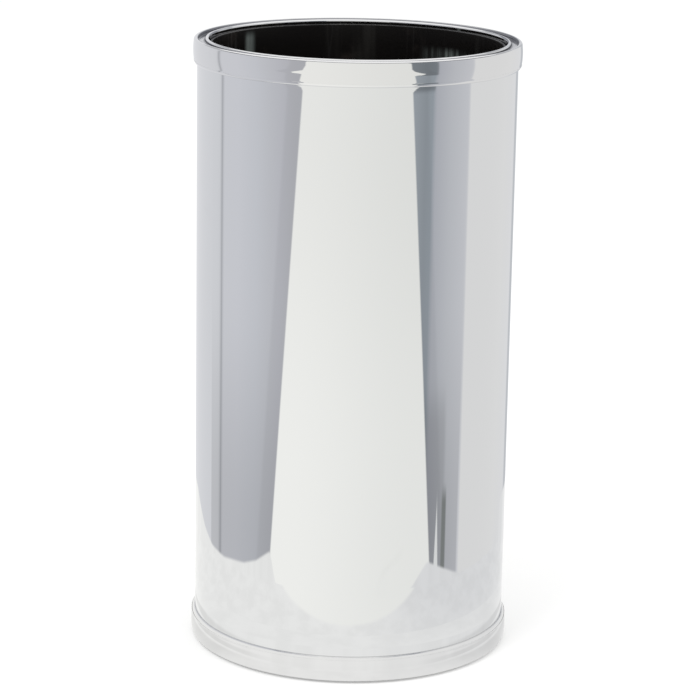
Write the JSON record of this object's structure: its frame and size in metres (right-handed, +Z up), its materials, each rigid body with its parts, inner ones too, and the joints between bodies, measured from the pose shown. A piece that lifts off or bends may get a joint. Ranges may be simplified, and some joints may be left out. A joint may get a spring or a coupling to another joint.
{
  "type": "umbrella stand",
  "caption": "Free-standing cylindrical umbrella stand: a chromed sheet tube between two convex chromed rings, with a black drip liner that lifts out of the top.",
  "frame": {"origin": "on the floor, under the centre of the stand", "axes": "+Z up along the axis of the cylinder; the seam of the tube faces +Y and the front is -Y; +X is to the right seen from the front"},
  "size_m": [0.26, 0.26, 0.492],
  "materials": {
    "chrome": "mirror-bright chromed sheet steel",
    "chrome_ring": "mirror-bright chromed moulding",
    "galvanised": "dull galvanised strip",
    "black_lacquer": "semi-gloss black lacquer on pressed sheet",
    "rubber": "matte moulded rubber",
    "zinc": "bright zinc plate",
    "black_plastic": "semi-gloss moulded black plastic"
  },
  "bodies": {
    "shell": {"body_tube": "chrome", "seam_strip": "galvanised", "top_ring": "chrome_ring", "base_ring": "chrome_ring", "base_pan": "black_lacquer", "foot_front_left": "rubber", "foot_front_right": "rubber", "foot_back_left": "rubber", "foot_back_right": "rubber", "foot_washers": "zinc", "foot_screws": "zinc", "weld_nuts": "zinc"},
    "liner": {"liner": "black_plastic"}
  },
  "joints": [
    {"name": "liner_lift", "type": "slide", "parent": "shell", "child": "liner", "axis": [0, 0, 1], "range_m": [0, 0.49]}
  ]
}
